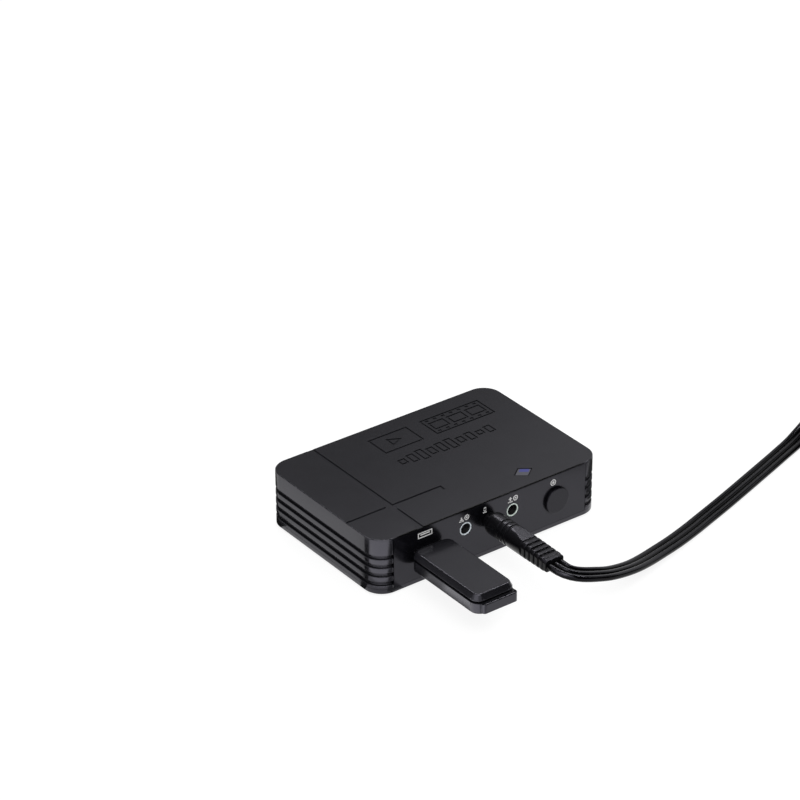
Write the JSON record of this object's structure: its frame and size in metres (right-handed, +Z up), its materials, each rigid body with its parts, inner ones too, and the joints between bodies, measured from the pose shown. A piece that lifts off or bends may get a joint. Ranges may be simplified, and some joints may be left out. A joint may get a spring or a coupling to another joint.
{
  "type": "video capture box",
  "caption": "Flat black video capture box with audio sockets, a record button, a memory stick in its socket and a flat audio and video lead plugged in.",
  "frame": {"origin": "on the table, under the middle of the box with its memory stick", "axes": "+X along the casing towards the record button's end, +Y towards the rear sockets, so the front sockets face -Y, +Z up"},
  "size_m": [0.2984, 0.1773, 0.0263],
  "materials": {
    "casing_black": "finely textured satin",
    "panel_black": "finely textured satin",
    "button_black": "satin",
    "screw_steel": "blackened",
    "foot_rubber": "matt",
    "board_green": "solder mask",
    "chip_black": "moulded epoxy",
    "thermal_grey": "matt",
    "sink_aluminium": "anodised",
    "can_steel": "bright",
    "capacitor_sleeve": "printed can",
    "ferrite_grey": "matt",
    "socket_steel": "tinned",
    "socket_black": "satin",
    "socket_white": "satin",
    "contact_gold": "gold plated",
    "contact_nickel": "nickel plated",
    "ring_blue": "gloss",
    "ring_green": "gloss",
    "window_grey": "translucent",
    "led_white": "gloss",
    "stick_black": "satin",
    "grip_black": "satin",
    "cord_black": "gloss",
    "grip_white": "gloss",
    "grip_red": "gloss",
    "grip_yellow": "gloss"
  },
  "bodies": {
    "capture_box": {"bottom_cover": "casing_black", "top_cover": "casing_black", "front_panel": "panel_black", "rear_panel": "panel_black", "case_screws": "screw_steel", "rubber_feet": "foot_rubber", "main_board": "board_green", "board_screws": "can_steel", "processor": "chip_black", "thermal_pad": "thermal_grey", "heat_sink": "sink_aluminium", "memory_chips": "chip_black", "flash_chip": "chip_black", "video_receiver": "chip_black", "video_transmitter": "chip_black", "crystal": "can_steel", "capacitors": "capacitor_sleeve", "inductors": "ferrite_grey", "usb_socket_shell": "screw_steel", "usb_socket_tongue": "socket_white", "usb_socket_contacts": "contact_gold", "line_in_socket": "socket_black", "mic_socket": "socket_black", "line_out_socket": "socket_black", "line_in_ring": "ring_blue", "mic_ring": "socket_black", "line_out_ring": "ring_green", "socket_contacts": "contact_nickel", "rec_switch": "chip_black", "status_lens": "window_grey", "status_led": "led_white", "power_socket": "socket_black", "power_pin": "contact_nickel", "hdmi_in_shell": "socket_steel", "hdmi_out_shell": "socket_steel", "hdmi_tongues": "socket_black", "rear_av_socket": "socket_black"},
    "record_button": {"rec_button": "button_black", "rec_plunger": "socket_white"},
    "memory_stick": {"stick_top_shell": "stick_black", "stick_lower_shell": "stick_black", "stick_plug_shell": "socket_steel", "stick_plug_insert": "socket_white", "stick_contacts": "contact_gold", "stick_board": "board_green", "stick_memory": "chip_black", "stick_controller": "chip_black"},
    "av_lead": {"lead_plug_metal": "contact_nickel", "lead_plug_insulators": "socket_black", "lead_plug_grip": "grip_black", "lead_ribbon": "cord_black", "lead_coil": "cord_black", "lead_tails": "cord_black", "white_phono_grip": "grip_white", "red_phono_grip": "grip_red", "yellow_phono_grip": "grip_yellow", "phono_collars": "contact_nickel", "phono_pins": "contact_nickel", "phono_insulators": "socket_white"}
  },
  "joints": [
    {"name": "record_press", "type": "slide", "parent": "capture_box", "child": "record_button", "axis": [0, 1, 0], "range_m": [0, 0.0004], "stiffness_N_per_m": 3000, "springref_m": -0.0002},
    {"name": "stick_pull", "type": "slide", "parent": "capture_box", "child": "memory_stick", "axis": [0, -1, 0], "range_m": [0, 0.02]},
    {"name": "lead_pull", "type": "slide", "parent": "capture_box", "child": "av_lead", "axis": [0, -1, 0], "range_m": [0, 0.02]}
  ]
}
